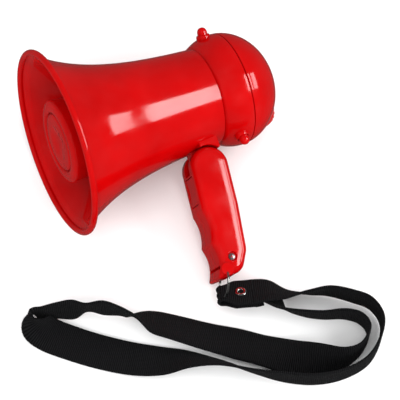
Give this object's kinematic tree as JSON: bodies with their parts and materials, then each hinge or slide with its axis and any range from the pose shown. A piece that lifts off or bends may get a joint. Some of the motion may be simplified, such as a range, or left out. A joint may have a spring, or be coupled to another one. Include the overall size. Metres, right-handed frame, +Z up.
{
  "type": "handheld megaphone",
  "caption": "Small hand megaphone lying on its side, with a re-entrant horn, folding pistol grip, trigger, push buttons, rear cap and wrist strap on a split ring.",
  "frame": {"origin": "middle of the footprint of the megaphone without its strap and ring, on the ground", "axes": "+Z up from the ground it lies on; the mouth faces -X and dips from +Z, the grip points to -Y"},
  "size_m": [0.1816, 0.2229, 0.1022],
  "materials": {
    "red_shell": "high gloss",
    "black_plastic": "fine grain",
    "black_rubber": "matte",
    "steel": "satin",
    "ferrite": "matte ferrite",
    "copper": "enamelled wire",
    "diaphragm_film": "thin film",
    "board_green": "solder mask",
    "cell_wrap": "printed sleeve without marks",
    "nickel": "bright nickel",
    "webbing": "ribbed weave"
  },
  "bodies": {
    "body": {"horn_bell": "red_shell", "reflector_bowl": "red_shell", "reflector_cap": "red_shell", "reflector_struts": "red_shell", "throat_tube": "red_shell", "driver_gasket": "black_rubber", "driver_frame": "steel", "driver_diaphragm": "diaphragm_film", "driver_voice_coil": "copper", "driver_magnet": "ferrite", "driver_yoke": "steel", "driver_screws": "steel", "housing_front": "red_shell", "chassis_plate": "black_plastic", "chassis_screws": "steel", "circuit_board": "board_green", "battery_holder": "black_plastic", "batteries": "cell_wrap", "battery_contacts": "steel", "button_switches": "black_plastic", "handle_bracket": "red_shell", "strap": "webbing"},
    "rear_cover": {"rear_cap": "red_shell", "microphone_grille": "black_plastic", "microphone_boot": "black_rubber", "microphone_capsule": "steel", "volume_potentiometer": "steel"},
    "volume_wheel": {"volume_wheel": "red_shell"},
    "top_button": {"top_button": "red_shell"},
    "lower_button": {"lower_button": "red_shell"},
    "grip": {"hinge_pin": "steel", "handle_near_half": "red_shell", "handle_far_half": "red_shell", "handle_screws": "steel", "trigger_spring": "steel", "trigger_switch": "black_plastic"},
    "trigger": {"trigger": "red_shell"},
    "ring": {"split_ring": "nickel", "strap_end_fold": "webbing", "strap_rivet": "nickel"}
  },
  "joints": [
    {"name": "rear_cover_pull", "type": "slide", "parent": "body", "child": "rear_cover", "axis": [0.9819, 0, -0.1893], "range_m": [0, 0.03]},
    {"name": "volume_turn", "type": "hinge", "parent": "rear_cover", "child": "volume_wheel", "pos_m": [0.05456, 0.00567, 0.0242], "axis": [-0.1814, 0.2849, -0.9412], "range_deg": [0, 270]},
    {"name": "top_button_press", "type": "slide", "parent": "body", "child": "top_button", "axis": [-0.1127, -0.8033, -0.5848], "range_m": [0, 0.0012], "stiffness_N_per_m": 1000, "springref_m": -0.001},
    {"name": "lower_button_press", "type": "slide", "parent": "body", "child": "lower_button", "axis": [-0.018, 0.9955, -0.0933], "range_m": [0, 0.0012], "stiffness_N_per_m": 1000, "springref_m": -0.001},
    {"name": "grip_fold", "type": "hinge", "parent": "body", "child": "grip", "pos_m": [0.01239, -0.01436, 0.02626], "axis": [-0.1814, 0.2849, -0.9412], "range_deg": [0, 60], "deforming": ["strap"]},
    {"name": "trigger_pull", "type": "slide", "parent": "grip", "child": "trigger", "axis": [0.9819, 0, -0.1893], "range_m": [0, 0.0025], "stiffness_N_per_m": 800, "springref_m": -0.0015, "deforming": ["trigger_spring"]},
    {"name": "ring_swing", "type": "hinge", "parent": "grip", "child": "ring", "pos_m": [-0.00146, -0.07169, 0.02306], "axis": [0.9819, 0, -0.1893], "range_deg": [-7, 7], "deforming": ["strap"]}
  ]
}
